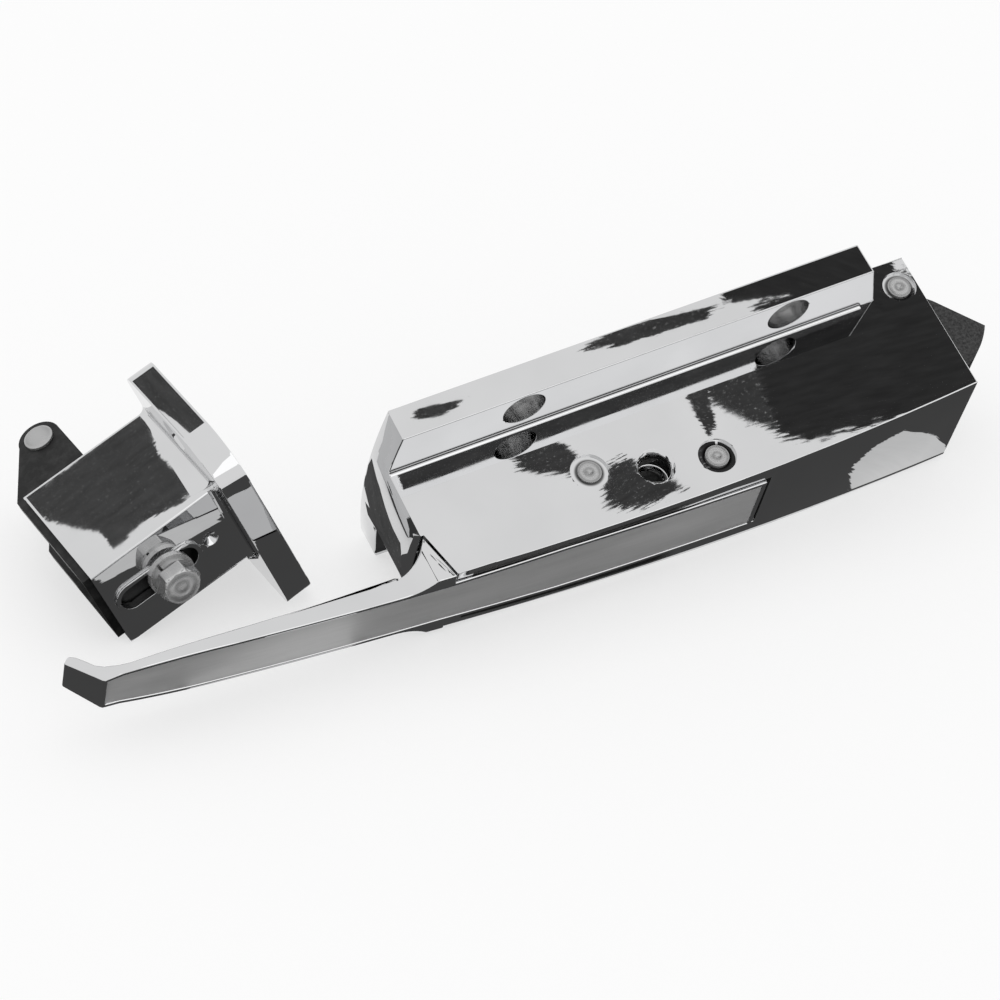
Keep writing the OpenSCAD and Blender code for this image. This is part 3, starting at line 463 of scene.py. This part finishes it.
def bronze():
    material, tree, shader = new_material("bronze")
    shader.inputs["Metallic"].default_value = 1.0
    grain = noise(tree, scale=900.0, detail=5.0, roughness=0.6)
    shades = [(0.3, (0.36, 0.24, 0.10)), (0.7, (0.52, 0.36, 0.17))]
    link(tree, ramp(tree, grain, shades), shader.inputs["Base Color"])
    link(tree, grey_ramp(tree, grain, (0.3, 0.7), (0.32, 0.46)), shader.inputs["Roughness"])
    bump(tree, shader, grain, strength=0.2, distance=0.00005)
    return material


def floor_material():
    """Pale floor that keeps a soft shadow. The camera, metal and glass see it mixed with plain white."""
    material, tree, shader = new_material("pale_floor")
    shader.inputs["Base Color"].default_value = (*grey(FLOOR_TONE), 1.0)
    shader.inputs["Roughness"].default_value = 0.9
    shader.inputs["Specular IOR Level"].default_value = 0.1
    path = add(tree, "ShaderNodeLightPath")
    seen = math_node(tree, "ADD", path.outputs["Is Camera Ray"], path.outputs["Is Glossy Ray"])
    seen = math_node(tree, "ADD", seen, path.outputs["Is Transmission Ray"])
    share = math_node(tree, "MULTIPLY", math_node(tree, "MINIMUM", seen, 1.0), FLOOR_WHITE)
    white = add(tree, "ShaderNodeEmission")
    blend = add(tree, "ShaderNodeMixShader")
    link(tree, share, blend.inputs["Fac"])
    link(tree, shader.outputs["BSDF"], blend.inputs[1])
    link(tree, white.outputs["Emission"], blend.inputs[2])
    link(tree, blend.outputs["Shader"], tree.nodes["Material Output"].inputs["Surface"])
    return material


def glow(name, strength):
    material, tree, shader = new_material(name)
    emission = add(tree, "ShaderNodeEmission")
    emission.inputs["Strength"].default_value = strength
    link(tree, emission.outputs["Emission"], tree.nodes["Material Output"].inputs["Surface"])
    tree.nodes.remove(shader)
    return material


def brushed_glow(name, tone, speckle, contrast):
    """Card whose rim frays into brush strokes, with pale speckles where the weave is open."""
    material, tree, shader = new_material(name)
    tree.nodes.remove(shader)
    solid = add(tree, "ShaderNodeAttribute", attribute_name="solid")
    point = add(tree, "ShaderNodeAttribute", attribute_name="brush").outputs["Vector"]
    strokes = noise(tree, scale=1.0, detail=4.0, roughness=0.65, stretch=(1, 1, 1), point=point)
    hairs = math_node(tree, "MULTIPLY", strokes, FRAY)
    cut = fade(tree, math_node(tree, "ADD", solid.outputs["Fac"], hairs), FRAY_CLEAR, FRAY_SOLID)
    flecks = noise(tree, scale=1.0, detail=3.0, roughness=0.6, stretch=(6, 1.3, 1), point=point)
    patches = noise(tree, scale=0.35, detail=3.0, roughness=0.6, stretch=(2, 1, 1), point=point)
    clouds = grey_ramp(tree, patches, (0.3, 0.7), (tone * (1 - contrast), tone * (1 + contrast)))
    spots = math_node(tree, "MULTIPLY", fade(tree, flecks, *SPECKLE_FADE), speckle)
    emission = add(tree, "ShaderNodeEmission")
    link(tree, mix_colour(tree, spots, clouds, grey(SPECKLE_TONE)), emission.inputs["Color"])
    clear = add(tree, "ShaderNodeBsdfTransparent")
    blend = add(tree, "ShaderNodeMixShader")
    link(tree, cut, blend.inputs["Fac"])
    link(tree, clear.outputs["BSDF"], blend.inputs[1])
    link(tree, emission.outputs["Emission"], blend.inputs[2])
    link(tree, blend.outputs["Shader"], tree.nodes["Material Output"].inputs["Surface"])
    return material


# Pieces of the CAD model

def middle_of(name):
    low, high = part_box(name)
    return (Vector(low) + Vector(high)) / 2


def paint(material, *names):
    for name in names:
        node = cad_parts[name]
        node.data.materials.clear()
        node.data.materials.append(material)


def soften(name, width, kind):
    """Rounds a CAD node's sharp edges by modifiers. The mesh itself stays as it is."""
    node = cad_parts[name]
    weld = node.modifiers.new("weld", "WELD")
    weld.merge_threshold = WELD_REACH
    flatten = node.modifiers.new("flatten", "DECIMATE")
    flatten.decimate_type = "DISSOLVE"
    flatten.angle_limit = FLAT_ANGLE
    bevel = node.modifiers.new("bevel", "BEVEL")
    bevel.offset_type = kind
    bevel.width = width
    bevel.segments = BEVEL_STEPS
    bevel.limit_method = "ANGLE"
    bevel.angle_limit = SHARP_ANGLE
    bevel.use_clamp_overlap = False
    bevel.harden_normals = True


def dress_nodes():
    chrome = polished_chrome("polished_chrome")[0]
    paint(chrome, "handle", "strike_body")
    paint(body_chrome(), "latch_body")
    paint(satin_panel(), "handle_inlay")
    for pin in SIDE_PINS:
        paint(ringed_steel(pin + "_steel", pin, LATCH_AXES, tone=0.44, rough=0.18, pitch=0.0017), pin)
    hidden = turned_steel("pin_steel", tone=0.55, rough=0.2)
    paint(hidden, "link_pin", "link_spacers", "tongue_drive_pin", "spring_anchor", "roller")
    across = Matrix.Identity(3)
    bolt = ringed_steel("bolt_zinc", "adjusting_bolt", across, tone=0.46, rough=0.16, pitch=0.0024)
    paint(bolt, "adjusting_bolt")
    rivet = ringed_steel("rivet_steel", "roller_pin", across, tone=0.40, rough=0.26, pitch=0.0020)
    paint(rivet, "roller_pin")
    zinc = turned_steel("zinc_plate", tone=0.50, rough=0.26)
    paint(zinc, "drive_link", "flat_washer", "clamp_nut", "roller_washers")
    paint(turned_steel("lock_washer_steel", tone=0.40, rough=0.3), "lock_washer")
    paint(turned_steel("spring_steel", tone=0.35, rough=0.3), "handle_spring", "tongue_spring")
    paint(black_steel(), "strike_bracket")
    paint(cast_tongue(), "tongue")
    paint(bronze(), "handle_bushes", "spring_sleeve", "tongue_bush")
    for name, (width, kind) in SOFT_EDGES.items():
        soften(name, width, kind)


# Studio cards, placed where the chrome mirrors them to the camera

def camera_ray(pixel):
    camera = bpy.context.scene.camera
    u = (pixel[0] + 0.5) / PICTURE - 0.5
    v = 0.5 - (pixel[1] + 0.5) / PICTURE
    local = Vector((u * SENSOR_MM / LENS_MM, v * SENSOR_MM / LENS_MM, -1.0))
    return (camera.matrix_world.to_3x3() @ local).normalized()


def meet(start, ray, plane):
    point, normal = plane
    return start + ray * ((point - start).dot(normal) / ray.dot(normal))


def face_at(pixel):
    """Plane of the face that the camera sees at a pixel."""
    depsgraph = bpy.context.evaluated_depsgraph_get()
    start = bpy.context.scene.camera.matrix_world.translation
    hit = bpy.context.scene.ray_cast(depsgraph, start, camera_ray(pixel))
    return hit[1], hit[2]


def mirrored(pixel, faces, plane):
    """Point of a plane that the faces, met in turn, mirror to the camera at a pixel."""
    start = bpy.context.scene.camera.matrix_world.translation
    ray = camera_ray(pixel)
    for face in faces:
        start = meet(start, ray, face)
        ray = ray - 2 * ray.dot(face[1]) * face[1]
    return meet(start, ray, plane)


def hang(name, mesh):
    """Adds a card that only shiny surfaces see."""
    card = bpy.data.objects.new(name, mesh)
    bpy.context.scene.collection.objects.link(card)
    card.visible_camera = False
    card.visible_diffuse = False
    card.visible_shadow = False


def flag(name, faces, outline, plane, material, spread, stroke, lift):
    """Card that the faces show inside a pixel outline, with a rim from 1 - spread to 1 + spread of it."""
    centre = sum((Vector(pixel) for pixel in outline), Vector((0, 0))) / len(outline)
    along = Vector(stroke).normalized()
    across = Vector((-along.y, along.x))
    pixels = [centre + (Vector(pixel) - centre) * (1 - spread) for pixel in outline]
    pixels += [centre + (Vector(pixel) - centre) * (1 + spread) for pixel in outline]
    count = len(outline)
    rim = [(i, (i + 1) % count, count + (i + 1) % count, count + i) for i in range(count)]
    points = [mirrored(pixel, faces, plane) + plane[1] * lift for pixel in pixels]
    mesh = bpy.data.meshes.new(name)
    mesh.from_pydata(points, [], [tuple(range(count))] + rim)
    solid = mesh.attributes.new("solid", "FLOAT", "POINT")
    brush = mesh.attributes.new("brush", "FLOAT_VECTOR", "POINT")
    for i, pixel in enumerate(pixels):
        solid.data[i].value = 1.0 if i < count else 0.0
        brush.data[i].vector = (pixel.dot(along) / STROKE_LONG, pixel.dot(across) / STROKE_WIDE, 0.0)
    mesh.materials.append(material)
    hang(name, mesh)


def panel(name, corners, strength):
    mesh = bpy.data.meshes.new(name)
    mesh.from_pydata(corners, [], [tuple(range(len(corners)))])
    mesh.materials.append(glow(name, strength))
    hang(name, mesh)


def make_flags():
    faces = {name: face_at(pixel) for name, pixel in FACES.items()}
    looks = {name: brushed_glow(name + "_card", *look) for name, look in CARD_LOOKS.items()}
    hang_cards(DARK_CARDS, faces, looks)
    low = FLOOR_CARD[0].z
    for name, left, right, near, far in FLOOR_PANELS:
        corners = [(left, near, low), (right, near, low), (right, far, low), (left, far, low)]
        panel(name, corners, FLOOR_PANEL_TONE)
    hang_cards(PALE_CARDS, faces, looks)
    y = FRONT_PANEL[0].y
    left, right, low, high = SOFTBOX
    corners = [(left, y, low), (right, y, low), (right, y, high), (left, y, high)]
    panel("card_softbox", corners, SOFTBOX_STRENGTH)


def hang_cards(rows, faces, looks):
    for name, mirrors, outline, plane, look, spread, stroke, lift in rows:
        flag(name, [faces[mirror] for mirror in mirrors], outline, plane, looks[look], spread, stroke, lift)


def make_floor():
    half = FLOOR_HALF
    mesh = bpy.data.meshes.new("floor")
    corners = [(-half, -half, 0), (half, -half, 0), (half, half, 0), (-half, half, 0)]
    mesh.from_pydata(corners, [], [(0, 1, 2, 3)])
    mesh.materials.append(floor_material())
    floor = bpy.data.objects.new("floor", mesh)
    bpy.context.scene.collection.objects.link(floor)


def make_world():
    world = bpy.data.worlds.new("world")
    bpy.context.scene.world = world
    world.use_nodes = True
    background = world.node_tree.nodes["Background"]
    background.inputs["Color"].default_value = (1, 1, 1, 1)
    background.inputs["Strength"].default_value = 1.0


def main():
    bpy.context.scene.view_settings.view_transform = "Standard"
    place_camera()
    make_world()
    make_floor()
    make_flags()
    dress_nodes()


main()
